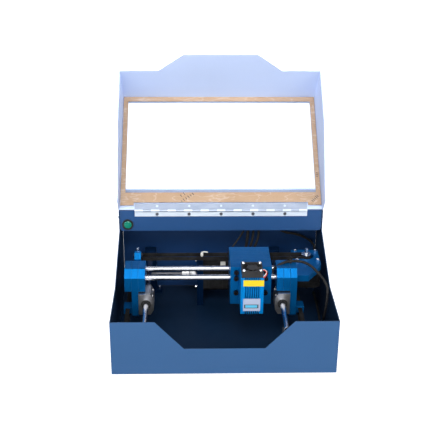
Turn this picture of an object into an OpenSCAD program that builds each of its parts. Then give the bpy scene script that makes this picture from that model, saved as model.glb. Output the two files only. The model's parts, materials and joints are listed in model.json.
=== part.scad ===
// Desktop laser cutter: folded sheet case, hinged lid, belt-driven gantry and a fan-cooled laser module.
// The origin is the middle of the footprint on the table. +X is to the right, +Y to the rear, +Z up.
// Inside the modules, x is measured from the middle, y from the front panel and z from the floor's underside.

/* [Case] */
// Width of the case over its side panels
case_w = 320; // [300:1:340]
// Depth of the case from the front panel to the rear wall
case_d = 262; // [255:1:290]
// Height of the front panel
front_h = 84.5; // [80:0.5:90]
// Height of the top shelf behind the fascia
cover_h = 160; // [158:0.5:160.5]
// Thickness of the sheet metal
sheet = 1.5; // [1:0.1:2]
// Distance from the front panel to the fascia
fascia_y = 212; // [212:0.5:216]
// Height of the fascia's lower edge
fascia_z = 125.5; // [122:0.5:130]
// Where the side panels start to slope up
slope_y = 100; // [90:1:115]
// Height of the side panels at the fascia
slope_top = 126; // [120:0.5:130]
// Height of the rubber feet below the floor
foot_h = 2; // [1:0.5:6]

/* [Front notch] */
// Width of the notch at the top of the front panel
notch_top_w = 195.4; // [160:0.2:220]
// Width of the notch at its bottom edge
notch_bottom_w = 114.4; // [80:0.2:150]
// Height of the notch's bottom edge
notch_z = 41.2; // [30:0.2:60]

/* [Lid] */
// How far the lid stands open
lid_open = 139.5; // [0:0.5:139.5]
// Gap between the edges of the closed lid and the case
lid_gap = 1.5; // [1:0.1:3]
// Half the width of the window opening
window_x = 150; // [130:1:152]
// Near and far edges of the window opening, measured from the hinge
window_y0 = 39.4; // [30:0.2:60]
window_y1 = 199.4; // [150:0.2:202]
// Thickness of the clear window
window_t = 3; // [2:0.5:4]

/* [Hinge] */
// Length of the piano hinge
hinge_l = 270; // [200:1:290]
// Number of knuckles, an odd number
knuckles = 21; // [15:2:25]
// Radius of the knuckles
knuckle_r = 2; // [1.8:0.1:2.2]

/* [Motion] */
// Where the laser carriage stands along its rods
carriage_x = 40.3; // [-69:0.1:44]
// Front face of the gantry's end plates
gantry_y = 80; // [35:1:135]
// Radius of the guide rods
rod_r = 4; // [4:0.5:4]
// Running clearance on the radius of rods, shafts and pins
run = 0.04; // [0.02:0.01:0.08]
// Pitch radius of the belt pulleys with twenty teeth
pulley_r = 6.366; // [6.366:0.001:6.366]

/* [Laser] */
// Width and depth of the laser module
laser_w = 33; // [30:1:40]
// Height of the laser module
laser_h = 58; // [45:1:60]

/* [Hidden] */

$fn = 64;
eps = 0.02;

// Case
hw = case_w / 2;
inner_x = hw - sheet;
button_x = -146.3;
button_z = 136.6;
button_hole_r = 8;
lens_r = 6;
foot_r = 7;
foot_in = 14;
return_d = 14;
clip_xs = [88, 150];
cover_screw_places = [[case_d - 8, 20], [case_d - 8, 85], [case_d - 8, 145], [fascia_y + 8, 145]];

// Hinge axis and the leaves that lie against the fascia and the lid
pin_y = fascia_y - knuckle_r;
pin_z = cover_h + 1;
pin_r = 1.15;
leaf_t = 0.9;
leaf_w = 10.5;
knuckle_l = hinge_l / knuckles;
hinge_screw_xs = [-100, -50, 0, 50, 100];
hinge_screw_off = 6.6;
upper_screw_off = 8.4;

// Lid, in its own closed frame with the hinge axis at y = 0, z = 0
lid_front = -pin_y;
lid_rear = -3.5;
lid_in = knuckle_r;
lid_out = lid_in + sheet;
tape_t = 0.5;
film_t = 0.3;
panel_x = 157.5;
panel_y1 = 208;
panel_y0 = 8.4;
film_y0 = 30.7;

// Y guides
y_rod_xs = [-113, 87];
y_rod_z = 70;
leg_xs = [-124, 98];
block_w = 22;
block_h = 34;
block_l = 30;
bearing_r = 7.5;
bearing_l = 24;

// Y drive: the shaft runs across the back, one belt runs along each side
shaft_y = 215;
shaft_z = 48;
shaft_r = 2.5;
idler_y = 30;
y_belt_xs = [-141, 115];
belt_w = 6;
belt_in = pulley_r - 0.15;
belt_out = belt_in + 0.95;
motor_w = 42.3;
motor_screws = 31;
y_motor_x0 = -28;
y_motor_l = 40;

// Gantry, with y measured from the front face of its end plates
plate_t = 10;
seam = 0.1;
end_z0 = 89;
end_z1 = 121;
end_d = 51;
left_x0 = -144;
right_x0 = 78;
x_rod_z = 103.5;
x_rod_ys = [16, 44];
x_drive_y = 80;
x_motor_x = 130;
x_idler_x = -128;
x_belt_z = 102.6;
x_plate_z0 = 96;
x_plate_z1 = 106;

// Carriage, with x measured from its middle
car_w = 60;
car_y0 = 4;
car_y1 = 70;
car_z0 = 65.5;
car_z1 = 126.5;
car_step_y = 36;
car_step_z = 85;
laser_y0 = car_y0 - laser_w;
laser_z0 = 67.5;
laser_z1 = laser_z0 + laser_h;
fan_w = 30;
fan_h = 10;
fan_pitch = 24;
laser_mid_y = laser_y0 + laser_w / 2;

// ---- Frames ----

module in_case() {
    translate([0, -case_d / 2, foot_h])
        children();
}

module in_lid() {
    in_case()
        translate([0, pin_y, pin_z])
            rotate([-lid_open, 0, 0])
                children();
}

module in_gantry() {
    in_case()
        translate([0, gantry_y, 0])
            children();
}

module in_carriage() {
    in_gantry()
        translate([carriage_x, 0, 0])
            children();
}

// ---- Shared shapes ----

// A box between two corners
module span(x, y, z) {
    translate([x[0], y[0], z[0]])
        cube([x[1] - x[0], y[1] - y[0], z[1] - z[0]]);
}

// A cylinder along X, Y or Z through a point
module cyl_x(r, x, y, z) {
    translate([x[0], y, z])
        rotate([0, 90, 0])
            cylinder(r = r, h = x[1] - x[0]);
}

module cyl_y(r, x, y, z) {
    translate([x, y[0], z])
        rotate([-90, 0, 0])
            cylinder(r = r, h = y[1] - y[0]);
}

module cyl_z(r, x, y, z) {
    translate([x, y, z[0]])
        cylinder(r = r, h = z[1] - z[0]);
}

// An outline in y and z, drawn out along X
module side_shape(x, points) {
    translate([x[0], 0, 0])
        rotate([90, 0, 90])
            linear_extrude(x[1] - x[0])
                polygon(points);
}

// An outline in x and z, drawn out along Y
module front_shape(y, points) {
    translate([0, y[1], 0])
        rotate([90, 0, 0])
            linear_extrude(y[1] - y[0])
                polygon(points);
}

// Children at the four corners of a square
module at_corners(pitch) {
    for (x = [-pitch / 2, pitch / 2], y = [-pitch / 2, pitch / 2])
        translate([x, y, 0])
            children();
}

// A cap screw whose head stands on z = 0, with a hexagon socket
module cap_screw(r, l) {
    difference() {
        union() {
            cylinder(r = 1.8 * r, h = 1.9 * r);
            translate([0, 0, -l])
                cylinder(r = r, h = l + eps);
        }
        translate([0, 0, 0.9 * r])
            cylinder(r = r, h = 2 * r, $fn = 6);
    }
}

// A low cross-head screw whose head stands on z = 0
module cross_screw(r, l) {
    slot_w = 0.5 * r;
    difference() {
        union() {
            cylinder(r1 = 1.9 * r, r2 = 1.4 * r, h = r);
            translate([0, 0, -l])
                cylinder(r = r, h = l + eps);
        }
        for (turn = [0, 90])
            rotate([0, 0, turn])
                translate([-1.2 * r, -slot_w / 2, 0.5 * r])
                    cube([2.4 * r, slot_w, r]);
    }
}

// A toothed pulley along +Z with a flange at each end
module pulley(w, bore) {
    teeth = 20;
    tip_r = pulley_r - 0.25;
    flange_r = pulley_r + 1.2;
    flange_t = 0.8;
    difference() {
        union() {
            difference() {
                translate([0, 0, flange_t / 2])
                    cylinder(r = tip_r, h = w - flange_t);
                for (i = [0:teeth - 1])
                    rotate([0, 0, i * 360 / teeth])
                        translate([tip_r, 0, -1])
                            cylinder(r = 0.5, h = w + 2);
            }
            cylinder(r = flange_r, h = flange_t);
            translate([0, 0, w - flange_t])
                cylinder(r = flange_r, h = flange_t);
        }
        translate([0, 0, -1])
            cylinder(r = bore, h = w + 2);
    }
}

// A belt loop lying in the XY plane round two pulleys at y = 0 and y = l
module belt_loop(l) {
    difference() {
        union() {
            cylinder(r = belt_out, h = belt_w);
            translate([0, l, 0])
                cylinder(r = belt_out, h = belt_w);
            translate([-belt_out, 0, 0])
                cube([2 * belt_out, l, belt_w]);
        }
        translate([0, 0, -1]) {
            cylinder(r = belt_in, h = belt_w + 2);
            translate([0, l, 0])
                cylinder(r = belt_in, h = belt_w + 2);
            translate([-belt_in, 0, 0])
                cube([2 * belt_in, l, belt_w + 2]);
        }
    }
}

// A square with cut corners, half its width and the corner cut given
function motor_outline(h, c) = [
    [h - c, -h], [h, c - h], [h, h - c], [h - c, h],
    [c - h, h], [-h, h - c], [-h, c - h], [c - h, -h],
];

// A square stepper motor with cut corners, its shaft end at z = 0 and its body below
module stepper(l) {
    h = motor_w / 2;
    c = 4.5;
    cap = 9;
    groove = 0.6;
    difference() {
        translate([0, 0, -l])
            linear_extrude(l)
                polygon(motor_outline(h, c));
        for (z = [-cap, cap - l])
            translate([0, 0, z - groove / 2])
                difference() {
                    translate([-h - 1, -h - 1, 0])
                        cube([2 * h + 2, 2 * h + 2, groove]);
                    translate([0, 0, -1])
                        linear_extrude(groove + 2)
                            polygon(motor_outline(h - 0.8, c));
                }
        translate([0, 0, -l - 1])
            cylinder(r = shaft_r + run, h = l + 2);
        at_corners(motor_screws)
            translate([0, 0, -5])
                cylinder(r = 1.5, h = 6);
    }
}

// A cable along a list of points, with a ball at each bend
module cable(r, points) {
    for (i = [0:len(points) - 2]) {
        step = points[i + 1] - points[i];
        length = norm(step);
        translate(points[i])
            rotate([0, acos(step[2] / length), atan2(step[1], step[0])])
                cylinder(r = r, h = length, $fn = 24);
        translate(points[i])
            sphere(r = r, $fn = 24);
    }
}

// ---- Case ----

// The trapezoid shared by the notch and the lid's tab, raised by lift
function tab_outline(lift, over) = [
    [-notch_bottom_w / 2, notch_z + lift],
    [notch_bottom_w / 2, notch_z + lift],
    [notch_top_w / 2, front_h + lift],
    [notch_top_w / 2, front_h + lift + over],
    [-notch_top_w / 2, front_h + lift + over],
    [-notch_top_w / 2, front_h + lift],
];

// Where the sloping edge of the side panels ends, just in front of the fascia
slope_end_y = fascia_y - 1.5;

module base_tray() {
    side = [[0, 0], [case_d, 0], [case_d, cover_h], [slope_end_y, cover_h], [slope_end_y, slope_top],
        [slope_y, front_h], [0, front_h]];
    color([0.25, 0.42, 0.62])
        in_case()
            difference() {
                side_shape([-hw, hw], side);
                span([-inner_x, inner_x], [sheet, case_d + 1], [sheet, 200]);
                front_shape([-1, sheet + 1], tab_outline(0, 10));
                for (x = [-1, 1], y = [foot_in, case_d - foot_in])
                    cyl_z(1.6, x * (hw - foot_in), y, [-1, sheet + 1]);
            }
}

module rear_cover() {
    gap = 0.25;
    x = inner_x - gap;
    corner = 4;
    outline = [[fascia_y, fascia_z], [fascia_y, cover_h], [case_d, cover_h], [case_d, sheet + gap],
        [case_d - sheet, sheet + gap], [case_d - sheet, cover_h - sheet], [fascia_y + sheet, cover_h - sheet],
        [fascia_y + sheet, fascia_z + sheet], [fascia_y + return_d, fascia_z + sheet],
        [fascia_y + return_d, fascia_z]];
    color([0.19, 0.35, 0.57])
        in_case()
            difference() {
                side_shape([-x, x], outline);
                cyl_y(button_hole_r, button_x, [fascia_y - 1, fascia_y + sheet + 1], button_z);
                for (side = [-1, 1])
                    translate([side * x, 0, fascia_z])
                        rotate([0, 45, 0])
                            translate([-corner / 2, fascia_y - 1, -corner / 2])
                                cube([corner, return_d + 2, corner]);
                for (hx = hinge_screw_xs)
                    cyl_y(1.4, hx, [fascia_y - 1, fascia_y + sheet + 1], pin_z - hinge_screw_off);
                for (cx = clip_xs)
                    cyl_z(1.1, cx, fascia_y + 6, [fascia_z - 1, fascia_z + sheet + 1]);
                cyl_y(4.1, 120, [case_d - sheet - 1, case_d + 1], 140);
                span([84, 96.4], [case_d - sheet - 1, case_d + 1], [134.4, 145.4]);
                for (i = [0:7])
                    span([-60 + 12 * i, -54 + 12 * i], [case_d - sheet - 1, case_d + 1], [110, 138]);
            }
}

// Screws through the side panels, and the two whose ends stand out below the fascia
module cover_screws() {
    color([0.75, 0.76, 0.78])
        in_case() {
            for (side = [-1, 1], p = cover_screw_places)
                translate([side * hw, p[0], p[1]])
                    rotate([0, side * 90, 0])
                        cross_screw(1.5, 0);
            for (cx = clip_xs)
                cyl_z(1.05, cx, fascia_y + 6, [fascia_z - 3, fascia_z + sheet + 2.2]);
        }
}

module rubber_feet() {
    color([0.1, 0.1, 0.1])
        in_case() {
            translate([0, case_d / 2, -foot_h])
                cylinder(r1 = foot_r - 0.6, r2 = foot_r, h = foot_h);
            for (x = [-1, 1], y = [foot_in, case_d - foot_in])
                translate([x * (hw - foot_in), y, -foot_h]) {
                    cylinder(r1 = foot_r - 0.6, r2 = foot_r, h = foot_h);
                    cylinder(r = 1.5, h = foot_h + sheet);
                    translate([0, 0, foot_h + sheet])
                        cylinder(r1 = 2.2, r2 = 1.4, h = 1.2);
                }
        }
}

// Knuckles with indices of one parity, with a running gap between neighbours
module hinge_knuckles(first) {
    gap = 0.3;
    for (i = [first:2:knuckles - 1])
        translate([-hinge_l / 2 + i * knuckle_l, 0, 0])
            cyl_x(knuckle_r, [gap, knuckle_l - gap], 0, 0);
}

// Clearance cut in a leaf where the other leaf's knuckles turn
module knuckle_notches(first, y, z) {
    for (i = [first:2:knuckles - 1])
        span([-hinge_l / 2 + i * knuckle_l - eps, -hinge_l / 2 + (i + 1) * knuckle_l + eps], y, z);
}

module hinge_lower_leaf() {
    color([0.86, 0.87, 0.89])
        in_case()
            translate([0, pin_y, pin_z])
                difference() {
                    union() {
                        hinge_knuckles(0);
                        span([-hinge_l / 2, hinge_l / 2], [knuckle_r - leaf_t, knuckle_r], [-leaf_w, 0]);
                    }
                    cyl_x(pin_r + run, [-hinge_l, hinge_l], 0, 0);
                    knuckle_notches(1, [-5, 5], [-knuckle_r - 0.8, 5]);
                    for (x = hinge_screw_xs)
                        cyl_y(1.5, x, [-1, 5], -hinge_screw_off);
                }
}

module hinge_pin() {
    color([0.6, 0.61, 0.63])
        in_case()
            cyl_x(pin_r, [-hinge_l / 2, hinge_l / 2], pin_y, pin_z);
}

module hinge_lower_screws() {
    color([0.3, 0.3, 0.32])
        in_case()
            for (x = hinge_screw_xs)
                translate([x, fascia_y - leaf_t, pin_z - hinge_screw_off])
                    rotate([90, 0, 0])
                        cross_screw(1.35, 6);
}

module switch_body() {
    bezel_r = 8.8;
    nut_r = 10.5;
    color([0.12, 0.17, 0.2])
        in_case()
            difference() {
                union() {
                    cyl_y(bezel_r, button_x, [fascia_y - 2, fascia_y], button_z);
                    cyl_y(button_hole_r - 0.1, button_x, [fascia_y - eps, fascia_y + 20], button_z);
                    translate([button_x, fascia_y + sheet + 2.5, button_z])
                        rotate([90, 0, 0])
                            cylinder(r = nut_r, h = 2.5, $fn = 6);
                    for (dx = [-3, 3])
                        span([button_x + dx - 0.4, button_x + dx + 0.4], [fascia_y + 19, fascia_y + 27],
                            [button_z - 1.4, button_z + 1.4]);
                }
                cyl_y(lens_r + 0.1, button_x, [fascia_y - 3, fascia_y + 6], button_z);
            }
}

module button_cap() {
    color([0.1, 0.62, 0.45])
        in_case()
            union() {
                cyl_y(lens_r, button_x, [fascia_y - 2.2, fascia_y + 4], button_z);
                translate([button_x, fascia_y - 2.2 + eps, button_z])
                    rotate([90, 0, 0])
                        cylinder(r1 = lens_r, r2 = lens_r - 0.8, h = 0.8);
            }
}

// ---- Y guides and drive ----

module y_rods() {
    color([0.8, 0.81, 0.84])
        in_case()
            for (x = y_rod_xs)
                cyl_y(rod_r, x, [3, 246], y_rod_z);
}

module rod_stands_front() {
    color([0.12, 0.2, 0.32])
        in_case()
            for (x = y_rod_xs)
                difference() {
                    union() {
                        span([x - 6, x + 6], [2, 12], [sheet, y_rod_z - 1]);
                        span([x - 14, x + 14], [2, 12], [sheet, sheet + 5]);
                    }
                    cyl_y(rod_r, x, [1, 13], y_rod_z);
                    for (dx = [-10, 10])
                        cyl_z(1.6, x + dx, 7, [0, 10]);
                }
}

module rod_stands_rear() {
    color([0.16, 0.3, 0.5])
        in_case()
            for (x = y_rod_xs)
                difference() {
                    union() {
                        span([x - 9, x + 9], [235, 249], [sheet, y_rod_z + 9]);
                        span([x - 18, x + 18], [235, 249], [sheet, sheet + 6]);
                    }
                    cyl_y(rod_r, x, [234, 246], y_rod_z);
                    for (dx = [-13.5, 13.5])
                        cyl_z(1.6, x + dx, 242, [0, 10]);
                }
}

// Cap screws of the rod stands and of the Y motor
module drive_screws() {
    color([0.75, 0.76, 0.78])
        in_case() {
            for (x = y_rod_xs) {
                for (dx = [-10, 10])
                    translate([x + dx, 7, sheet + 5])
                        cap_screw(1.5, 4.9);
                for (dx = [-13.5, 13.5])
                    translate([x + dx, 242, sheet + 6])
                        cap_screw(1.5, 5.9);
            }
            on_shaft(y_motor_x0 - 10)
                at_corners(motor_screws)
                    mirror([0, 0, 1])
                        cap_screw(1.45, 14);
        }
}

// Turns a shape drawn up +Z so that it runs along +X from a point on the drive shaft's axis
module on_shaft(x) {
    translate([x, shaft_y, shaft_z])
        rotate([0, 90, 0])
            children();
}

module y_motor() {
    boss_r = 11;
    color([0.07, 0.07, 0.08])
        in_case() {
            on_shaft(y_motor_x0)
                mirror([0, 0, 1])
                    stepper(y_motor_l);
            difference() {
                cyl_x(boss_r, [y_motor_x0 - 2, y_motor_x0 + eps], shaft_y, shaft_z);
                cyl_x(shaft_r + run, [y_motor_x0 - 3, y_motor_x0 + 1], shaft_y, shaft_z);
            }
            translate([y_motor_x0 + y_motor_l - 12, shaft_y - 27, shaft_z + 4])
                cube([11, 27 - motor_w / 2 + eps, 10]);
        }
}

module y_motor_plate() {
    x1 = y_motor_x0;
    x0 = x1 - 10;
    y0 = shaft_y - 22;
    y1 = shaft_y + 22;
    outline = [[y0, sheet], [y1, sheet], [y1, 66], [y1 - 6, 71], [y0 + 6, 71], [y0, 66]];
    color([0.06, 0.3, 0.6])
        in_case()
            difference() {
                side_shape([x0, x1], outline);
                cyl_x(11.2, [x0 - 1, x1 + 1], shaft_y, shaft_z);
                on_shaft(x0 - 1)
                    at_corners(motor_screws)
                        cylinder(r = 1.7, h = 12);
            }
}

// x positions of the two bearing blocks, just inside the pulleys
shaft_block_xs = [-131, 98];

module shaft_blocks() {
    color([0.16, 0.3, 0.5])
        in_case()
            for (x = shaft_block_xs)
                difference() {
                    side_shape([x, x + 8], [[shaft_y - 12, sheet], [shaft_y + 12, sheet], [shaft_y + 12, 54],
                        [shaft_y + 7, 59], [shaft_y - 7, 59], [shaft_y - 12, 54]]);
                    cyl_x(8, [x - 1, x + 9], shaft_y, shaft_z);
                }
}

module shaft_bearings() {
    color([0.72, 0.73, 0.75])
        in_case()
            for (x = shaft_block_xs)
                difference() {
                    cyl_x(7.98, [x + 1.5, x + 6.5], shaft_y, shaft_z);
                    cyl_x(shaft_r + run, [x, x + 8], shaft_y, shaft_z);
                }
}

module idler_stands() {
    color([0.1, 0.14, 0.2])
        in_case()
            for (x = y_belt_xs)
                difference() {
                    union() {
                        for (dx = [-6.9, 4.5])
                            span([x + dx, x + dx + 2.4], [idler_y - 6, idler_y + 6], [sheet, shaft_z + 7]);
                        span([x - 6.9, x + 6.9], [idler_y - 10, idler_y + 10], [sheet, sheet + 4]);
                    }
                    cyl_x(2.5, [x - 10, x + 10], idler_y, shaft_z);
                }
}

module idler_axles() {
    color([0.82, 0.83, 0.85])
        in_case()
            for (x = y_belt_xs)
                translate([x + 6.9, idler_y, shaft_z])
                    rotate([0, 90, 0])
                        cap_screw(2.45, 15);
}

module y_belts() {
    color([0.05, 0.05, 0.05])
        in_case()
            for (x = y_belt_xs)
                translate([x + belt_w / 2, idler_y, shaft_z])
                    rotate([0, -90, 0])
                        belt_loop(shaft_y - idler_y);
}

module y_shaft() {
    ends = [[-150, -51.5], [-50.5, 27.5], [28.5, 124]];
    color([0.8, 0.81, 0.84])
        in_case()
            for (e = ends)
                cyl_x(shaft_r, e, shaft_y, shaft_z);
}

module y_couplings() {
    color([0.86, 0.87, 0.89])
        in_case()
            for (x = [-62, 17])
                difference() {
                    cyl_x(9.5, [x, x + 22], shaft_y, shaft_z);
                    cyl_x(shaft_r + eps, [x - 1, x + 23], shaft_y, shaft_z);
                    for (i = [0:3])
                        on_shaft(x + 6.6 + 2.4 * i)
                            rotate([0, 0, 90 * i])
                                translate([-4, -10, 0])
                                    cube([14, 20, 1]);
                }
}

module y_pulleys() {
    w = 8.4;
    color([0.8, 0.81, 0.83])
        in_case()
            for (x = y_belt_xs)
                on_shaft(x - w / 2)
                    pulley(w, shaft_r + eps);
}

module y_idler(x) {
    w = 8.4;
    color([0.8, 0.81, 0.83])
        in_case()
            translate([x - w / 2, idler_y, shaft_z])
                rotate([0, 90, 0])
                    pulley(w, 2.45 + run);
}

module y_idler_left() {
    y_idler(y_belt_xs[0]);
}

module y_idler_right() {
    y_idler(y_belt_xs[1]);
}

// ---- Electronics ----

module control_board() {
    color([0.05, 0.3, 0.16])
        in_case() {
            difference() {
                span([40, 140], [216, 256], [146, 147.6]);
                for (x = [44, 136], y = [220, 252])
                    cyl_z(1.6, x, y, [145, 149]);
            }
            for (x = [54, 76, 98])
                span([x, x + 14], [234, 249], [139, 146 + eps]);
            span([112, 132], [222, 236], [140, 146 + eps]);
            for (x = [52, 64, 76, 88])
                span([x, x + 9], [222, 227], [138, 146 + eps]);
        }
}

module board_standoffs() {
    color([0.75, 0.65, 0.35])
        in_case()
            for (x = [44, 136], y = [220, 252]) {
                translate([x, y, 147.6])
                    cylinder(r = 3, h = cover_h - sheet - 147.6, $fn = 6);
                translate([x, y, 146])
                    mirror([0, 0, 1])
                        cross_screw(1.5, 1.7);
            }
}

module power_jack() {
    color([0.06, 0.06, 0.07])
        in_case()
            difference() {
                union() {
                    cyl_y(4, 120, [case_d - 12, case_d], 140);
                    cyl_y(5.6, 120, [case_d, case_d + 1.6], 140);
                    translate([120, case_d - sheet - 2, 140])
                        rotate([-90, 0, 0])
                            cylinder(r = 6.5, h = 2, $fn = 6);
                }
                cyl_y(2.75, 120, [case_d - 8, case_d + 3], 140);
            }
}

module usb_socket() {
    color([0.74, 0.75, 0.77])
        in_case()
            difference() {
                span([84.2, 96.2], [case_d - 12, case_d + 0.8], [134.6, 145.2]);
                span([85.2, 95.2], [case_d - 9, case_d + 2], [135.6, 144.2]);
            }
}

module wiring_clips() {
    color([0.1, 0.1, 0.11])
        in_case()
            for (cx = clip_xs)
                difference() {
                    union() {
                        cyl_y(4, cx, [fascia_y + 3, fascia_y + 9], fascia_z + sheet + 5.5);
                        span([cx - 4, cx + 4], [fascia_y + 3, fascia_y + 9],
                            [fascia_z + sheet, fascia_z + sheet + 5.5]);
                    }
                    cyl_y(2.4, cx, [fascia_y + 2, fascia_y + 10], fascia_z + sheet + 5.5);
                    cyl_z(1.1, cx, fascia_y + 6, [fascia_z, fascia_z + sheet + 4]);
                }
}

module case_cable() {
    path = [[152, 228, 5], [152, 120, 5], [152, 60, 5], [153, 52, 12]];
    color([0.05, 0.05, 0.05])
        in_case()
            cable(2.4, path);
}

// ---- Gantry ----

// Outline of an end plate in y and z, cut at 45 degrees front and rear
end_outline = [[0, end_z0], [end_d, end_z0], [end_d, end_z1 - 14.4], [end_d - 14.4, end_z1], [10.6, end_z1],
    [0, end_z1 - 10.6]];

// Outline of the plate that also reaches down as a leg
leg_outline = [[0, 49], [4, 45], [30, 45], [34, 49], [34, end_z0], [end_d, end_z0], [end_d, end_z1 - 14.4],
    [end_d - 14.4, end_z1], [10.6, end_z1], [0, end_z1 - 10.6]];

module rod_holes(x) {
    for (y = x_rod_ys)
        cyl_x(rod_r + 0.02, x, y, x_rod_z);
}

module belt_clamp(x, side) {
    slot_z = shaft_z + pulley_r;
    difference() {
        span([min(x, x + side * 13), max(x, x + side * 13)], [8, 26], [slot_z - 7, slot_z + 3]);
        span([x + side * 7 - 3.4, x + side * 7 + 3.4], [7, 27], [slot_z - 1.1, slot_z + 1.5]);
    }
}

module left_end_plates() {
    color([0.06, 0.34, 0.68])
        in_gantry() {
            for (i = [0, 2])
                difference() {
                    x = left_x0 + i * plate_t;
                    side_shape([x + seam / 2, x + plate_t - seam / 2], end_outline);
                    rod_holes([left_x0 + 4, 0]);
                }
            difference() {
                side_shape([leg_xs[0] - plate_t + seam / 2, leg_xs[0] - seam / 2], leg_outline);
                rod_holes([left_x0 + 4, 0]);
            }
            belt_clamp(leg_xs[0] - plate_t + seam / 2 + eps, -1);
        }
}

module right_end_plates() {
    color([0.06, 0.34, 0.68])
        in_gantry() {
            for (i = [0, 1])
                difference() {
                    x = right_x0 + i * plate_t;
                    side_shape([x + seam / 2, x + plate_t - seam / 2], end_outline);
                    rod_holes([0, right_x0 + 26]);
                }
            difference() {
                side_shape([leg_xs[1] + seam / 2, leg_xs[1] + plate_t - seam / 2], leg_outline);
                rod_holes([0, right_x0 + 26]);
            }
            belt_clamp(leg_xs[1] + plate_t - seam / 2 - eps, 1);
        }
}

// A linear bearing block: thick round its bore, with thinner lugs above and below
module bearing_block(face_x, side) {
    lug = 17.5;
    bulge = 8;
    far = face_x + side * block_w;
    near_far = face_x + side * lug;
    top = y_rod_z + block_h / 2;
    bottom = y_rod_z - block_h / 2;
    difference() {
        front_shape([-5, block_l - 5], [[face_x, top], [near_far, top], [far, top - bulge],
            [far, bottom + bulge], [near_far, bottom], [face_x, bottom]]);
        cyl_y(bearing_r + 0.02, face_x + side * block_w / 2, [-6, block_l], y_rod_z);
        for (z = [top - 5, bottom + 5], y = [1, 19])
            cyl_x(2.1, [min(face_x, far) - 1, max(face_x, far) + 1], y, z);
    }
}

module y_bearing_blocks() {
    color([0.83, 0.83, 0.82])
        in_gantry() {
            bearing_block(leg_xs[0], 1);
            bearing_block(leg_xs[1], -1);
        }
}

module y_bearings() {
    color([0.7, 0.71, 0.74])
        in_gantry()
            for (x = y_rod_xs)
                difference() {
                    cyl_y(bearing_r, x, [-2, bearing_l - 2], y_rod_z);
                    cyl_y(rod_r + run, x, [-4, bearing_l], y_rod_z);
                }
}

module y_bearing_seals() {
    color([0.04, 0.04, 0.04])
        in_gantry()
            for (x = y_rod_xs, y = [-4, bearing_l - 2])
                difference() {
                    cyl_y(bearing_r, x, [y, y + 2], y_rod_z);
                    cyl_y(rod_r + run, x, [y - 1, y + 3], y_rod_z);
                }
}

module x_rods() {
    color([0.85, 0.86, 0.89])
        in_gantry()
            for (y = x_rod_ys)
                cyl_x(rod_r, [left_x0 + 4, right_x0 + 26], y, x_rod_z);
}

module x_motor_plate() {
    x0 = right_x0 + 3 * plate_t;
    outline = [[x0, 16], [126.5, 16], [143, 40.5], [149.5, 54], [149.5, 101], [x0, 101]];
    color([0.04, 0.36, 0.72])
        in_gantry()
            difference() {
                translate([0, 0, x_plate_z0])
                    linear_extrude(x_plate_z1 - x_plate_z0)
                        polygon(outline);
                cyl_z(11.2, x_motor_x, x_drive_y, [x_plate_z0 - 1, x_plate_z1 + 1]);
                span([x0 - 1, x_motor_x], [x_drive_y - 9.5, x_drive_y + 9.5], [x_belt_z - 1.6, x_plate_z1 + 1]);
                translate([x_motor_x, x_drive_y, x_plate_z0 - 1])
                    at_corners(motor_screws)
                        cylinder(r = 1.7, h = 12);
            }
}

module x_motor() {
    color([0.06, 0.06, 0.07])
        in_gantry()
            translate([x_motor_x, x_drive_y, x_plate_z0]) {
                stepper(34);
                difference() {
                    translate([0, 0, -eps])
                        cylinder(r = 11, h = 2);
                    translate([0, 0, -1])
                        cylinder(r = shaft_r + run, h = 4);
                }
            }
}

module x_motor_screws() {
    color([0.84, 0.85, 0.87])
        in_gantry()
            translate([x_motor_x, x_drive_y, x_plate_z1])
                at_corners(motor_screws)
                    cap_screw(1.45, 14);
}

module x_idler_bracket() {
    x = x_idler_x;
    color([0.06, 0.4, 0.78])
        in_gantry()
            difference() {
                side_shape([x - 5, x + 5], [[end_d, 96], [90, 96], [90, 102], [76, 102], [76, 118], [69.7, 118],
                    [62, 110.3], [62, 106.6], [end_d, 106.6]]);
                span([x - 6, x + 6], [69.5, 91], [x_belt_z - 1.4, x_belt_z + 7.4]);
                cyl_z(2.5, x, x_drive_y, [95, 103]);
            }
}

module x_idler_bolt() {
    color([0.86, 0.87, 0.89])
        in_gantry()
            union() {
                cyl_z(2.45, x_idler_x, x_drive_y, [97, 111]);
                cyl_z(1.9, x_idler_x, x_drive_y, [111 - eps, 121]);
            }
}

module x_belt() {
    color([0.04, 0.04, 0.04])
        in_gantry()
            translate([x_idler_x, x_drive_y, x_belt_z])
                rotate([0, 0, -90])
                    belt_loop(x_motor_x - x_idler_x);
}

module x_pulley() {
    color([0.88, 0.89, 0.91])
        in_gantry()
            translate([x_motor_x, x_drive_y, 0])
                union() {
                    translate([0, 0, x_belt_z - 1.2])
                        pulley(8.4, shaft_r - eps);
                    translate([0, 0, x_plate_z0 - 8])
                        cylinder(r = shaft_r, h = 30.5);
                }
}

module x_idler() {
    color([0.84, 0.85, 0.87])
        in_gantry()
            translate([x_idler_x, x_drive_y, x_belt_z - 1.2])
                pulley(8.4, 2.45 + run);
}

// ---- Carriage ----

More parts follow.
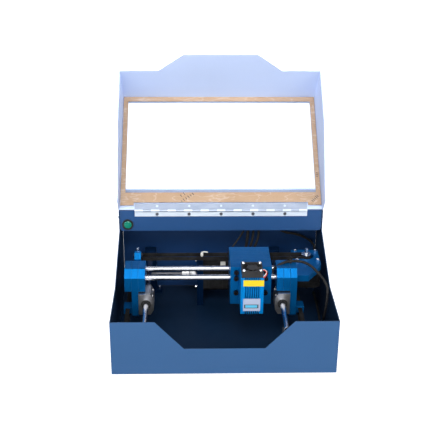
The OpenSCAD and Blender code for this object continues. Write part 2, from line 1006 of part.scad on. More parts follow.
module carriage_block() {
    plate = 6;
    groove = 0.35;
    hx = car_w / 2;
    color([0.05, 0.3, 0.62])
        in_carriage() {
            difference() {
                side_shape([-hx, hx], [[car_y0, car_z0], [car_step_y, car_z0], [car_step_y, car_step_z],
                    [car_y1, car_step_z], [car_y1, car_z1], [car_y0, car_z1]]);
                for (y = [car_y0 + plate:plate:car_y1 - 1]) {
                    span([-hx - 1, hx + 1], [y - groove / 2, y + groove / 2], [car_z1 - groove, car_z1 + 1]);
                    for (side = [-1, 1])
                        span([side > 0 ? hx - groove : -hx - 1, side > 0 ? hx + 1 : groove - hx],
                            [y - groove / 2, y + groove / 2], [car_z0 - 1, car_z1 + 1]);
                }
                for (y = x_rod_ys)
                    cyl_x(bearing_r + 0.02, [-hx - 1, hx + 1], y, x_rod_z);
            }
            difference() {
                span([-9, 9], [car_y1 - eps, car_y1 + 9], [x_belt_z - 4, x_belt_z + 9]);
                span([-10, 10], [x_drive_y - belt_out - 0.3, x_drive_y - belt_in + 0.3],
                    [x_belt_z - 0.3, x_belt_z + belt_w + 0.3]);
            }
        }
}

module carriage_bearings() {
    hx = car_w / 2;
    color([0.7, 0.71, 0.74])
        in_carriage()
            for (y = x_rod_ys, x = [-hx + 2, 4])
                difference() {
                    cyl_x(bearing_r, [x, x + bearing_l], y, x_rod_z);
                    cyl_x(rod_r + run, [x - 1, x + bearing_l + 1], y, x_rod_z);
                }
}

module carriage_screws() {
    color([0.05, 0.05, 0.06])
        in_carriage()
            for (x = [-21.5, 21.5], z = [85, 108.5, 118])
                translate([x, car_y0, z])
                    rotate([90, 0, 0])
                        cap_screw(2, 0);
}

module laser_body() {
    h = laser_w / 2;
    front_groove = 1.7;
    side_groove = 1.4;
    color([0.05, 0.47, 0.8])
        in_carriage()
            difference() {
                span([-h, h], [laser_y0, car_y0], [laser_z0, laser_z1]);
                for (x = [-9.3:3.1:9.3])
                    span([x - front_groove / 2, x + front_groove / 2], [laser_y0 - 1, laser_y0 + 7],
                        [laser_z0 - 1, laser_z1 + 1]);
                for (side = [-1, 1], i = [0:7])
                    span([side > 0 ? h - 6 : -h - 1, side > 0 ? h + 1 : 6 - h],
                        [laser_y0 + 4 + 3.3 * i, laser_y0 + 4 + 3.3 * i + side_groove],
                        [laser_z0 - 1, laser_z1 + 1]);
                cyl_z(9.1, 0, laser_mid_y, [laser_z0 - 1, laser_z0 + 6]);
            }
}

// A yellow and a white sticker, both without lettering
module laser_labels() {
    t = 0.2;
    color([0.95, 0.85, 0.1])
        in_carriage()
            span([-12.9, 16.7], [laser_y0 - t, laser_y0 - 0.005], [112.4, 122.3]);
    color([0.85, 0.87, 0.9])
        in_carriage()
            span([-12.7, 12], [laser_y0 - t, laser_y0 - 0.005], [72.3, 92.4]);
}

module fan_frame() {
    h = fan_w / 2;
    bore = 14;
    strut = 1.6;
    color([0.04, 0.04, 0.04])
        in_carriage()
            translate([0, laser_mid_y, laser_z1])
                union() {
                    difference() {
                        span([-h, h], [-h, h], [0, fan_h]);
                        translate([0, 0, 1.2])
                            cylinder(r = bore, h = fan_h);
                        difference() {
                            translate([0, 0, -1])
                                cylinder(r = bore, h = 4);
                            for (turn = [45, 135])
                                rotate([0, 0, turn])
                                    span([-bore, bore], [-strut, strut], [-2, 5]);
                            translate([0, 0, -2])
                                cylinder(r = 8, h = 8);
                        }
                        translate([0, 0, -1])
                            at_corners(fan_pitch)
                                cylinder(r = 1.6, h = fan_h + 2);
                    }
                    cylinder(r = 1.1, h = 6);
                }
}

module fan_rotor() {
    blades = 7;
    hub_r = 7.6;
    tip_r = 13.4;
    color([0.06, 0.06, 0.06])
        in_carriage()
            translate([0, laser_mid_y, laser_z1 + 1.6])
                difference() {
                    union() {
                        cylinder(r = hub_r, h = 7.4);
                        intersection() {
                            for (i = [0:blades - 1])
                                rotate([0, 0, i * 360 / blades])
                                    translate([hub_r - 1, 0, 3.8])
                                        rotate([38, 0, 0])
                                            translate([0, -4.4, -0.4])
                                                cube([tip_r - hub_r + 2, 8.8, 0.8]);
                            translate([0, 0, 0.5])
                                cylinder(r = tip_r, h = 6.6);
                        }
                    }
                    translate([0, 0, -1])
                        cylinder(r = 1.1 + run, h = 6.2);
                }
}

module fan_screws() {
    color([0.86, 0.87, 0.9])
        in_carriage()
            translate([0, laser_mid_y, laser_z1 + fan_h])
                at_corners(fan_pitch)
                    cross_screw(1.45, 9.9);
}

module focus_ring() {
    grips = 18;
    color([0.1, 0.3, 0.42])
        in_carriage()
            translate([0, laser_mid_y, laser_z0 - 6]) {
                difference() {
                    union() {
                        cylinder(r = 9, h = 5.9);
                        cylinder(r = 7, h = 11);
                    }
                    for (i = [0:grips - 1])
                        rotate([0, 0, i * 360 / grips])
                            translate([9.1, 0, -1])
                                cylinder(r = 0.6, h = 8, $fn = 16);
                    translate([0, 0, -1])
                        cylinder(r = 4, h = 9);
                }
                translate([0, 0, 3])
                    cylinder(r = 4 + eps, h = 2);
            }
}

// ---- Lid, drawn closed in its own frame ----

module lid_shell() {
    front_z = front_h + lid_gap - pin_z;
    slope_z = slope_top + lid_gap - pin_z;
    y_slope = slope_y - lid_gap - pin_y;
    side = [[lid_front, front_z], [y_slope, front_z], [-1, slope_z], [-1, 0], [lid_rear, lid_out],
        [lid_front, lid_out]];
    color([0.77, 0.83, 0.96])
        in_lid()
            difference() {
                union() {
                    side_shape([-hw, hw], side);
                    translate([0, 0, -pin_z])
                        front_shape([lid_front, lid_front + sheet], tab_outline(lid_gap, 1));
                }
                span([-inner_x, inner_x], [lid_front + sheet, 10], [-200, lid_in]);
                span([-window_x, window_x], [-window_y1, -window_y0], [-10, lid_out + 1]);
                for (x = hinge_screw_xs)
                    cyl_z(1.1, x, -upper_screw_off, [0, lid_out + 1]);
            }
}

// The clear window, held by tape inside the lid and notched round the hinge leaf
module window_panel() {
    z_tape = lid_in - tape_t;
    z_panel = z_tape - window_t;
    hinge_notch = [[-hinge_l / 2 - 1.5, hinge_l / 2 + 1.5], [-13.4, 0]];
    color([0.85, 0.9, 0.95, 0.35])
        in_lid()
            difference() {
                span([-panel_x, panel_x], [-panel_y1, -panel_y0], [z_panel, z_tape]);
                span(hinge_notch[0], hinge_notch[1], [z_panel - 1, z_tape + 1]);
            }
}

module hinge_upper_leaf() {
    color([0.9, 0.91, 0.93])
        in_lid()
            difference() {
                union() {
                    hinge_knuckles(1);
                    span([-hinge_l / 2, hinge_l / 2], [-leaf_w - 2, 0], [knuckle_r - leaf_t, knuckle_r]);
                }
                cyl_x(pin_r + run, [-hinge_l, hinge_l], 0, 0);
                knuckle_notches(0, [-knuckle_r - 0.8, 5], [-5, 5]);
                for (x = hinge_screw_xs)
                    cyl_z(1.2, x, -upper_screw_off, [0, 3]);
            }
}

// Double-sided tape between the window and the lid
module window_tape() {
    inner = 2.5;
    color([0.7, 0.72, 0.75])
        in_lid()
            difference() {
                span([-panel_x, panel_x], [-panel_y1, -24], [lid_in - tape_t, lid_in]);
                span([-window_x - inner, window_x + inner], [-window_y1 - inner, inner - window_y0], [-5, 5]);
            }
}

// Protective film left round the edge of the window
module window_film() {
    z1 = lid_in - tape_t - window_t;
    color([0.87, 0.72, 0.55])
        in_lid()
            difference() {
                span([-panel_x, panel_x], [-panel_y1, -panel_y0], [z1 - film_t, z1]);
                span([-window_x, window_x], [-window_y1, -film_y0], [z1 - 1, z1 + 1]);
                span([-hinge_l / 2 - 1.5, hinge_l / 2 + 1.5], [-13.4, 0], [z1 - 1, z1 + 1]);
            }
}

module hinge_upper_screws() {
    color([0.3, 0.3, 0.32])
        in_lid()
            for (x = hinge_screw_xs)
                translate([x, -upper_screw_off, knuckle_r - leaf_t])
                    rotate([180, 0, 0])
                        cross_screw(1.05, 3);
}

base_tray();
rear_cover();
cover_screws();
rubber_feet();
hinge_lower_leaf();
hinge_pin();
hinge_lower_screws();
switch_body();
button_cap();
y_rods();
rod_stands_front();
rod_stands_rear();
drive_screws();
y_motor();
y_motor_plate();
shaft_blocks();
shaft_bearings();
idler_stands();
idler_axles();
y_belts();
control_board();
board_standoffs();
power_jack();
usb_socket();
wiring_clips();
case_cable();
y_shaft();
y_couplings();
y_pulleys();
y_idler_left();
y_idler_right();
left_end_plates();
right_end_plates();
y_bearing_blocks();
y_bearings();
y_bearing_seals();
x_rods();
x_motor_plate();
x_motor();
x_motor_screws();
x_idler_bracket();
x_idler_bolt();
x_belt();
x_pulley();
x_idler();
carriage_block();
carriage_bearings();
carriage_screws();
laser_body();
laser_labels();
fan_frame();
fan_rotor();
fan_screws();
focus_ring();
lid_shell();
window_panel();
window_tape();
window_film();
hinge_upper_leaf();
hinge_upper_screws();
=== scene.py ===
"""Looks of the desktop laser cutter: materials, cables and small parts, and a plain studio."""
import json
import math

import bmesh
import bpy
from mathutils import Matrix, Vector


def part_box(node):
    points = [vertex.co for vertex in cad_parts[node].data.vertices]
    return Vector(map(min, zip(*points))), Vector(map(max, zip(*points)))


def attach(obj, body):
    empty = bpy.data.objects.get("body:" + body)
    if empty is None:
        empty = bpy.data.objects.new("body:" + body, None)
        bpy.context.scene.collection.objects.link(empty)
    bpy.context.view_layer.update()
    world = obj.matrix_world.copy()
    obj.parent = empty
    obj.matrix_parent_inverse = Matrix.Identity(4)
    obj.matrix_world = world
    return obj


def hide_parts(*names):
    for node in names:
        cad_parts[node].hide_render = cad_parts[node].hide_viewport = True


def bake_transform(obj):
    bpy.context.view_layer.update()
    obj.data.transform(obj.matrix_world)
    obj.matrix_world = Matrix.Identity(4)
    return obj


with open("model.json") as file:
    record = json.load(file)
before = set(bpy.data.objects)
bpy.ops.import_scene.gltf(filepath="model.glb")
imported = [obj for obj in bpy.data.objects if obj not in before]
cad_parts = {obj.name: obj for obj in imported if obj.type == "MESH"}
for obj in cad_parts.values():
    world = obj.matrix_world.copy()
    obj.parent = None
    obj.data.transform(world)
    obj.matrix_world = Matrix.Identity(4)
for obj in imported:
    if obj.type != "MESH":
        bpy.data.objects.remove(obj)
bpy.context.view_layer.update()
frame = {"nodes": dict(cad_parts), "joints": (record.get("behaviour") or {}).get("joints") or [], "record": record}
nodes = frame["nodes"]
MM = 0.001


# ---- Shader helpers ----

class Shader:
    """Builds one node material, with Principled as its surface."""

    def __init__(self, name):
        self.mat = bpy.data.materials.new(name)
        self.mat.use_nodes = True
        self.tree = self.mat.node_tree
        self.surface = self.tree.nodes["Principled BSDF"]
        self.output = self.tree.nodes["Material Output"]
        self.place = None

    def node(self, kind, **values):
        made = self.tree.nodes.new("ShaderNode" + kind)
        for key, value in values.items():
            if hasattr(made, key):
                setattr(made, key, value)
            else:
                made.inputs[key.replace("_", " ")].default_value = value
        return made

    def link(self, source, target):
        self.tree.links.new(source, target)
        return self

    def position(self, stretch=(1, 1, 1)):
        """Object position in metres, stretched for brushed or woven patterns."""
        if self.place is None:
            self.place = self.node("TexCoord")
        mapping = self.node("Mapping")
        mapping.inputs["Scale"].default_value = stretch
        self.link(self.place.outputs["Object"], mapping.inputs["Vector"])
        return mapping.outputs["Vector"]

    def noise(self, size, detail=3, stretch=(1, 1, 1), roughness=0.5):
        """Noise from 0 to 1 whose features are about size metres across."""
        made = self.node("TexNoise", Scale=1 / size, Detail=detail, Roughness=roughness)
        self.link(self.position(stretch), made.inputs["Vector"])
        return made.outputs["Fac"]

    def ramp(self, source, low, high):
        """Maps 0 to 1 onto low to high, clamped."""
        made = self.node("MapRange")
        made.inputs["To Min"].default_value = low
        made.inputs["To Max"].default_value = high
        self.link(source, made.inputs["Value"])
        return made.outputs["Result"]

    def step(self, source, low, high):
        """0 below low, 1 above high, smooth between."""
        made = self.node("MapRange", interpolation_type="SMOOTHSTEP")
        made.inputs["From Min"].default_value = low
        made.inputs["From Max"].default_value = high
        self.link(source, made.inputs["Value"])
        return made.outputs["Result"]

    def math(self, operation, a, b):
        made = self.node("Math", operation=operation)
        for socket, value in zip(made.inputs, (a, b)):
            if isinstance(value, (int, float)):
                socket.default_value = value
            else:
                self.link(value, socket)
        return made.outputs[0]

    def mix(self, factor, a, b):
        """A colour between a and b; each is a colour or a socket."""
        made = self.node("Mix", data_type="RGBA")
        for socket, value in ((made.inputs[0], factor), (made.inputs[6], a), (made.inputs[7], b)):
            if isinstance(value, bpy.types.NodeSocket):
                self.link(value, socket)
            elif isinstance(value, (int, float)):
                socket.default_value = value
            else:
                socket.default_value = (*value, 1)
        return made.outputs[2]

    def axis(self, index):
        """One coordinate of the place on the object, in metres."""
        split = self.node("SeparateXYZ")
        self.link(self.position(), split.inputs[0])
        return split.outputs[index]

    def edges(self, radius, sharp=0.08):
        """1 on edges and corners, 0 on flat faces."""
        bevel = self.node("Bevel", samples=4)
        bevel.inputs["Radius"].default_value = radius
        geometry = self.node("NewGeometry")
        dot = self.node("VectorMath", operation="DOT_PRODUCT")
        self.link(bevel.outputs[0], dot.inputs[0]).link(geometry.outputs["Normal"], dot.inputs[1])
        return self.step(self.math("SUBTRACT", 1.0, dot.outputs["Value"]), 0.002, sharp)

    def set(self, **values):
        for key, value in values.items():
            socket = self.surface.inputs[key.replace("_", " ")]
            if isinstance(value, bpy.types.NodeSocket):
                self.link(value, socket)
            elif isinstance(value, tuple) and len(value) == 3:
                socket.default_value = (*value, 1)
            else:
                socket.default_value = value
        return self

    def bump(self, height, strength, distance):
        made = self.node("Bump", Strength=strength, Distance=distance)
        self.link(height, made.inputs["Height"])
        self.link(made.outputs[0], self.surface.inputs["Normal"])
        return self


def lighter(colour, share):
    return tuple(c + (1 - c) * share for c in colour)


def darker(colour, share):
    return tuple(c * (1 - share) for c in colour)


def powder_coat(name, colour, rough=0.45, edge_wear_and_highlight=0.2, inside=None, painted_shade_share=(0.2, 0.2, 0.2), shine=0.3):
    """Baked powder paint: fine orange peel, slow colour drift, edges lighter in patches (part wear, part painted
    highlight), and painted shade on the faces that the inside mask marks.
    """
    s = Shader(name)
    drift = s.noise(0.09, 2)
    base = s.mix(drift, darker(colour, 0.07), darker(colour, -0.04))
    # Edges lighter in patches: part wear, part painted highlight.
    edge = s.math("MULTIPLY", s.edges(0.0006), s.ramp(s.noise(0.004, 4), 0.0, edge_wear_and_highlight))
    base = s.mix(edge, base, lighter(colour, 0.25))
    # Painted shade: faces inside the case and under the shelf are darkened to stand in for the shadow that falls
    # there.
    if inside is not None:
        base = s.mix(inside(s), base, tuple(c * share for c, share in zip(colour, painted_shade_share)))
    peel = s.noise(0.0011, 2)
    s.set(Base_Color=base, Roughness=s.ramp(s.noise(0.02, 3), rough - 0.05, rough + 0.07))
    s.set(Specular_IOR_Level=shine, Coat_Weight=0.05, Coat_Roughness=0.25)
    return s.bump(peel, 0.10, 0.0002).mat


def anodised(name, colour, rough=0.32, stretch=(1, 1, 1), metallic=0.6, edge_share=0.15):
    """Dyed anodised aluminium with fine machining lines and a painted highlight on the edges."""
    s = Shader(name)
    lines = s.noise(0.0009, 3, stretch)
    cloud = s.noise(0.012, 3)
    base = s.mix(cloud, darker(colour, 0.12), darker(colour, -0.10))
    base = s.mix(s.math("MULTIPLY", lines, 0.22), base, darker(colour, 0.35))
    # Painted highlight: edges lightened to stand in for light catching the chamfers.
    edge = s.math("MULTIPLY", s.edges(0.0004), edge_share)
    base = s.mix(edge, base, lighter(darker(colour, -0.2), 0.12))
    s.set(Base_Color=base, Metallic=metallic, Roughness=s.ramp(lines, rough - 0.07, rough + 0.1))
    s.set(Specular_IOR_Level=0.05)
    return s.bump(lines, 0.06, 0.0001).mat


def bare_metal(name, colour, rough=0.25, stretch=(1, 1, 1), grain=0.0008, dirt=0.2, bump=0.05):
    """Bare machined or ground metal with grain along one axis and light staining."""
    s = Shader(name)
    lines = s.noise(grain, 4, stretch)
    stain = s.step(s.noise(0.006, 4), 0.45, 0.8)
    base = s.mix(s.math("MULTIPLY", stain, dirt), colour, darker(colour, 0.4))
    s.set(Base_Color=base, Metallic=1.0, Roughness=s.ramp(lines, rough * 0.7, rough * 1.4))
    return s.bump(lines, bump, 0.00008).mat


def plated(name, colour):
    """Bright zinc-plated sheet: a pale satin metal with slight clouding."""
    s = Shader(name)
    cloud = s.noise(0.008, 4, (0.4, 1, 1))
    base = s.mix(cloud, darker(colour, 0.1), lighter(colour, 0.3))
    lines = s.noise(0.0006, 3, (0.1, 1, 1))
    s.set(Base_Color=base, Metallic=0.35, Roughness=s.ramp(lines, 0.3, 0.5))
    return s.bump(lines, 0.05, 0.00008).mat


def moulded(name, colour, rough=0.5, grain=0.0004, depth=0.12, shine=0.35):
    """Moulded plastic or rubber with a spark-eroded grain."""
    s = Shader(name)
    base = s.mix(s.noise(0.01, 3), darker(colour, 0.15), lighter(colour, 0.03))
    # Painted highlight: edges lightened to stand in for light catching them.
    edge = s.math("MULTIPLY", s.edges(0.0004), 0.2)
    base = s.mix(edge, base, lighter(colour, 0.12))
    s.set(Base_Color=base, Roughness=s.ramp(s.noise(0.003, 3), rough - 0.06, rough + 0.08))
    s.set(Specular_IOR_Level=shine)
    return s.bump(s.noise(grain, 3), depth, 0.00015).mat


# ---- Materials ----

case_lo, case_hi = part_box("base_tray")
WALL = 1.5 * MM


def inside_tray(s):
    """1 on faces that look into the case."""
    near_x = s.math("LESS_THAN", s.math("ABSOLUTE", s.axis(0), 0), case_hi.x - WALL * 0.5)
    near_y = s.math("GREATER_THAN", s.axis(1), case_lo.y + WALL * 0.5)
    above = s.math("GREATER_THAN", s.axis(2), case_lo.z + WALL * 0.5)
    return s.math("MULTIPLY", s.math("MULTIPLY", near_x, near_y), above)


def inside_cover(s):
    """1 on faces behind the fascia and under the shelf."""
    lo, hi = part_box("rear_cover")
    behind = s.math("GREATER_THAN", s.axis(1), lo.y + WALL * 0.5)
    below = s.math("LESS_THAN", s.axis(2), hi.z - WALL * 0.5)
    front = s.math("LESS_THAN", s.axis(1), hi.y - WALL * 0.5)
    return s.math("MULTIPLY", s.math("MULTIPLY", behind, below), front)


BLUE = (0.0225, 0.083, 0.206)
# The fascia is the case's blue paint: this darker copy is painted shade, standing in for the shadow on the fascia.
FASCIA_BLUE_PAINTED_SHADE = (0.0138, 0.062, 0.184)
# The lid is the case's blue paint: this pale copy is painted light, standing in for the strong light on its inner
# face.
LID_BLUE_PAINTED_LIGHT = (0.60, 0.715, 0.99)
ANODISED_BLUE = (0.001, 0.112, 0.34)
LASER_BLUE = (0.001, 0.21, 0.60)

MATERIALS = {
    # case_paint and cover_paint darken their faces inside the case and under the shelf as painted shade.
    "case_paint": powder_coat("case_paint", BLUE, inside=inside_tray, painted_shade_share=(0.17, 0.21, 0.23)),
    "cover_paint": powder_coat("cover_paint", FASCIA_BLUE_PAINTED_SHADE, inside=inside_cover, painted_shade_share=(0.45, 0.58, 0.68)),
    "lid_paint": powder_coat("lid_paint", LID_BLUE_PAINTED_LIGHT, edge_wear_and_highlight=0.1, shine=0.4),
    # Grey tape, tinted slate blue as painted shade: it stands in for the shaded lid paint seen through the
    # window's lower strip.
    "tape": moulded("tape", (0.32, 0.38, 0.54), 0.6),
    "hinge_steel": plated("hinge_steel", (0.70, 0.80, 0.92)),
    # dark_screws is dark steel; on the Y shaft its darkness is also painted shade.
    "dark_screws": bare_metal("dark_screws", (0.16, 0.16, 0.18), 0.35),
    "steel_screws": bare_metal("steel_screws", (0.8, 0.81, 0.84), 0.22),
    "black_screws": bare_metal("black_screws", (0.02, 0.02, 0.024), 0.35),
    "rubber": moulded("rubber", (0.006, 0.006, 0.007), 0.75, shine=0.2),
    "switch": moulded("switch", (0.004, 0.010, 0.012), 0.3, shine=0.25),
    "rod_steel": bare_metal("rod_steel", (0.52, 0.535, 0.59), 0.2, (1, 1, 1), 0.0006, 0.05, 0.0),
    # stand_plastic is near black partly as painted shade, so the rod stands read as the shadow they sit in.
    "stand_plastic": moulded("stand_plastic", (0.006, 0.010, 0.018), 0.5),
    "blue_anodised": anodised("blue_anodised", ANODISED_BLUE, 0.34, (0.2, 0.2, 3)),
    # dark_anodised is the blue anodising as painted shade: darkened for the Y motor plate that sits in shadow.
    "dark_anodised": anodised("dark_anodised", (0.002, 0.02, 0.07), 0.38, (0.2, 0.2, 3)),
    "laser_anodised": anodised("laser_anodised", LASER_BLUE, 0.3, (3, 3, 0.15)),
    "raw_aluminium": bare_metal("raw_aluminium", (0.50, 0.50, 0.51), 0.36, (1, 0.2, 1), 0.001, 0.4),
    "pulley_metal": bare_metal("pulley_metal", (0.62, 0.63, 0.65), 0.24),
    "motor_black": moulded("motor_black", (0.0012, 0.0015, 0.0025), 0.6, shine=0.03),
    "bearing_steel": bare_metal("bearing_steel", (0.30, 0.31, 0.33), 0.28),
    "belt": moulded("belt", (0.0012, 0.0012, 0.002), 0.8, shine=0.0),
    "board": moulded("board", (0.01, 0.09, 0.04), 0.4),
    "brass": bare_metal("brass", (0.62, 0.45, 0.2), 0.3),
    "black_plastic": moulded("black_plastic", (0.007, 0.007, 0.008), 0.4, shine=0.3),
    "cable": moulded("cable", (0.004, 0.004, 0.005), 0.5, 0.0008, 0.2, 0.12),
    "focus": anodised("focus", (0.006, 0.04, 0.08), 0.35),
}


def clear_window():
    """Clear acrylic: see-through, with more shine at a glancing angle."""
    s = Shader("window")
    facing = s.node("LayerWeight", Blend=0.5).outputs["Facing"]
    shine_share = s.math("ADD", s.math("MULTIPLY", s.math("POWER", facing, 4.0), 0.6), 0.035)
    clear = s.node("BsdfTransparent", Color=(0.975, 0.985, 0.99, 1))
    shine = s.node("BsdfGlossy", Roughness=0.04)
    haze = s.ramp(s.noise(0.03, 3), 0.85, 1.0)
    mixer = s.node("MixShader")
    s.link(s.math("MULTIPLY", shine_share, haze), mixer.inputs[0])
    s.link(clear.outputs[0], mixer.inputs[1]).link(shine.outputs[0], mixer.inputs[2])
    s.link(mixer.outputs[0], s.output.inputs["Surface"])
    s.tree.nodes.remove(s.surface)
    return s.mat


def kraft_film():
    """Brown protective paper film: pulp fibres, soft creases and a waxy sheen."""
    s = Shader("film")
    colour = (0.43, 0.265, 0.142)
    fibres = s.noise(0.0011, 5, (1, 1, 1), 0.7)
    cloud = s.noise(0.03, 3)
    base = s.mix(cloud, darker(colour, 0.14), lighter(colour, 0.12))
    base = s.mix(s.step(fibres, 0.5, 0.75), base, darker(colour, 0.2))
    crease = s.noise(0.012, 2, (0.35, 1, 1))
    ridge = s.math("ABSOLUTE", s.math("SUBTRACT", crease, 0.5), 0)
    fold = s.math("SUBTRACT", 1.0, s.step(ridge, 0.0, 0.03))
    base = s.mix(s.math("MULTIPLY", fold, 0.35), base, lighter(colour, 0.4))
    s.set(Base_Color=base, Roughness=s.ramp(fibres, 0.45, 0.65), Sheen_Weight=0.15)
    height = s.math("ADD", s.math("MULTIPLY", fold, 0.6), s.math("MULTIPLY", fibres, 0.3))
    return s.bump(height, 0.3, 0.0004).mat


def green_lens():
    """Translucent green button lens with a moulded dimple pattern and a faint painted glow."""
    s = Shader("button")
    rings = s.noise(0.0016, 2)
    base = s.mix(rings, (0.0, 0.13, 0.085), (0.0, 0.21, 0.14))
    s.set(Base_Color=base, Roughness=0.25, Coat_Weight=0.25, Coat_Roughness=0.1)
    # Painted glow: a faint emission stands in for light passing through the lens.
    s.set(Emission_Color=(0.0, 0.3, 0.2), Emission_Strength=0.08)
    return s.bump(rings, 0.15, 0.0002).mat


def printed(name, colour, rough=0.35):
    """A printed plastic sticker with slight ink mottle."""
    s = Shader(name)
    base = s.mix(s.noise(0.0012, 3), darker(colour, 0.05), lighter(colour, 0.04))
    s.set(Base_Color=base, Roughness=s.ramp(s.noise(0.002, 2), rough, rough + 0.12))
    return s.bump(s.noise(0.0007, 2), 0.05, 0.0001).mat


def stickers():
    """The laser's two stickers: yellow above, white below."""
    low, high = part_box("laser_labels")
    middle = (low.z + high.z) / 2
    s = Shader("label")
    mottle = s.noise(0.0012, 3)
    yellow = s.mix(mottle, (0.63, 0.47, 0.002), (0.70, 0.54, 0.004))
    white = s.mix(mottle, (0.28, 0.33, 0.45), (0.36, 0.42, 0.56))
    base = s.mix(s.math("GREATER_THAN", s.axis(2), middle), white, yellow)
    s.set(Base_Color=base, Roughness=s.ramp(s.noise(0.002, 2), 0.32, 0.45))
    return s.bump(s.noise(0.0007, 2), 0.05, 0.0001).mat


MATERIALS["window"] = clear_window()
MATERIALS["film"] = kraft_film()
MATERIALS["button"] = green_lens()
MATERIALS["label"] = stickers()
BLACK_PRINT = printed("black_print", (0.015, 0.02, 0.03))
CYAN_PRINT = printed("cyan_print", (0.06, 0.42, 0.66))
WHITE_WIRE = moulded("white_wire", (0.75, 0.75, 0.74), 0.45)
RED_WIRE = moulded("red_wire", (0.62, 0.03, 0.02), 0.45)
NYLON = moulded("nylon", (0.72, 0.72, 0.68), 0.5)
FILM_PRINT = printed("film_print", (0.03, 0.028, 0.025), 0.6)
# The upper hinge leaf is the same plated steel: this darker slate-blue copy is painted reflection.
LOOKS = {"hinge_upper_leaf": plated("hinge_upper_painted_reflection", (0.31, 0.39, 0.55))}


# Width in mm of the broken edge, where it is not the usual one
EDGE_WIDTHS = {"base_tray": 0.5, "rear_cover": 0.5, "lid_shell": 0.5, "left_end_plates": 0.35,
               "right_end_plates": 0.35, "carriage_block": 0.12, "laser_body": 0.2}
USUAL_EDGE = 0.25
SMOOTH_ONLY = {"window_panel", "window_film", "window_tape", "hinge_pin"}


def dress_nodes():
    """Every CAD node takes its material slot's finish, and hard edges are broken."""
    slots = {p["node"]: p["material_slot"] for p in frame["record"]["subparts"]}
    for name, ob in nodes.items():
        ob.data.materials.clear()
        ob.data.materials.append(LOOKS.get(name) or MATERIALS[slots[name]])
        weld = ob.modifiers.new("weld", "WELD")
        weld.merge_threshold = 1e-6
        flat = ob.modifiers.new("flat", "DECIMATE")
        flat.decimate_type = "DISSOLVE"
        flat.angle_limit = math.radians(0.5)
        if name not in SMOOTH_ONLY:
            bevel = ob.modifiers.new("edges", "BEVEL")
            bevel.width = EDGE_WIDTHS.get(name, USUAL_EDGE) * MM
            bevel.segments = 2
            bevel.limit_method = "ANGLE"
            bevel.angle_limit = math.radians(40)
            bevel.use_clamp_overlap = True
        normals = ob.modifiers.new("normals", "WEIGHTED_NORMAL")
        normals.keep_sharp = True


dress_nodes()


# ---- Extra pieces ----

def spline(points, steps=14):
    """A smooth path through the points."""
    pts = [Vector(p) for p in points]
    ends = [2 * pts[0] - pts[1]] + pts + [2 * pts[-1] - pts[-2]]
    path = []
    for i in range(1, len(ends) - 2):
        a, b, c, d = ends[i - 1:i + 3]
        for k in range(steps):
            t = k / steps
            path.append(0.5 * (2 * b + (c - a) * t + (2 * a - 5 * b + 4 * c - d) * t ** 2
                               + (3 * b - a - 3 * c + d) * t ** 3))
    return path + [pts[-1]]


def new_piece(name, mesh, material):
    mesh.materials.append(material)
    ob = bpy.data.objects.new(name, mesh)
    bpy.context.scene.collection.objects.link(ob)
    return ob


def finish_mesh(bm, name, smooth=True):
    bmesh.ops.recalc_face_normals(bm, faces=bm.faces)
    mesh = bpy.data.meshes.new(name)
    bm.to_mesh(mesh)
    bm.free()
    if smooth:
        mesh.polygons.foreach_set("use_smooth", [True] * len(mesh.polygons))
    return mesh


def add_tube(bm, path, radius, sides=14):
    """A closed round tube along a path, in an open mesh."""
    side = Vector((0, 0, 1)).cross(path[1] - path[0])
    if side.length < 1e-9:
        side = Vector((1, 0, 0))
    rings = []
    for i, point in enumerate(path):
        ahead = (path[min(i + 1, len(path) - 1)] - path[max(i - 1, 0)]).normalized()
        side = (side - ahead * side.dot(ahead)).normalized()
        other = ahead.cross(side)
        rings.append([bm.verts.new(point + radius * (math.cos(2 * math.pi * k / sides) * side
                                                     + math.sin(2 * math.pi * k / sides) * other))
                      for k in range(sides)])
    for ring, following in zip(rings, rings[1:]):
        for k in range(sides):
            bm.faces.new((ring[k], ring[(k + 1) % sides], following[(k + 1) % sides], following[k]))
    bm.faces.new(reversed(rings[0]))
    bm.faces.new(rings[-1])


def tube(name, points, radius, material, steps=14):
    """One cable, its path in metres."""
    bm = bmesh.new()
    add_tube(bm, spline(points, steps), radius)
    return new_piece(name, finish_mesh(bm, name), material)


def add_block(bm, low, high, soft=0.0):
    """A box, its edges cut back by soft."""
    made = bmesh.ops.create_cube(bm, size=1)["verts"]
    low, high = Vector(low), Vector(high)
    for v in made:
        v.co = Vector([low[i] + (v.co[i] + 0.5) * (high[i] - low[i]) for i in range(3)])
    if soft:
        edges = list({e for v in made for e in v.link_edges})
        bmesh.ops.bevel(bm, geom=edges, offset=soft, segments=2, affect="EDGES", profile=0.5)


def at(x, y, z):
    """A point in mm from the middle of the case's front lower edge."""
    return Vector((x * MM, case_lo.y + y * MM, case_lo.z + z * MM))


car_lo, car_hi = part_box("carriage_block")
laser_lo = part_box("laser_body")[0]
fan_lo, fan_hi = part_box("fan_frame")
plates_lo, plates_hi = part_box("right_end_plates")
motor_lo, motor_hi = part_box("y_motor")
x_rods_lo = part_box("x_rods")[0]
sheet_z = case_lo.z + WALL
CABLE_R = 2.0 * MM


def head_cable():
    """The laser head's cable, from the carriage's side over to the right end plates."""
    start = Vector((car_hi.x - 0.5 * MM, car_lo.y + 9 * MM, car_hi.z - 13 * MM))
    tie = Vector((plates_lo.x + 22 * MM, plates_lo.y + 28.5 * MM, plates_hi.z + 2.4 * MM))
    path = [start, start + Vector((10, 7, 6)) * MM, tie + Vector((-9, -3, -0.6)) * MM, tie]
    ob = tube("head_cable", path, CABLE_R, MATERIALS["cable"])
    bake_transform(ob)
    return tie


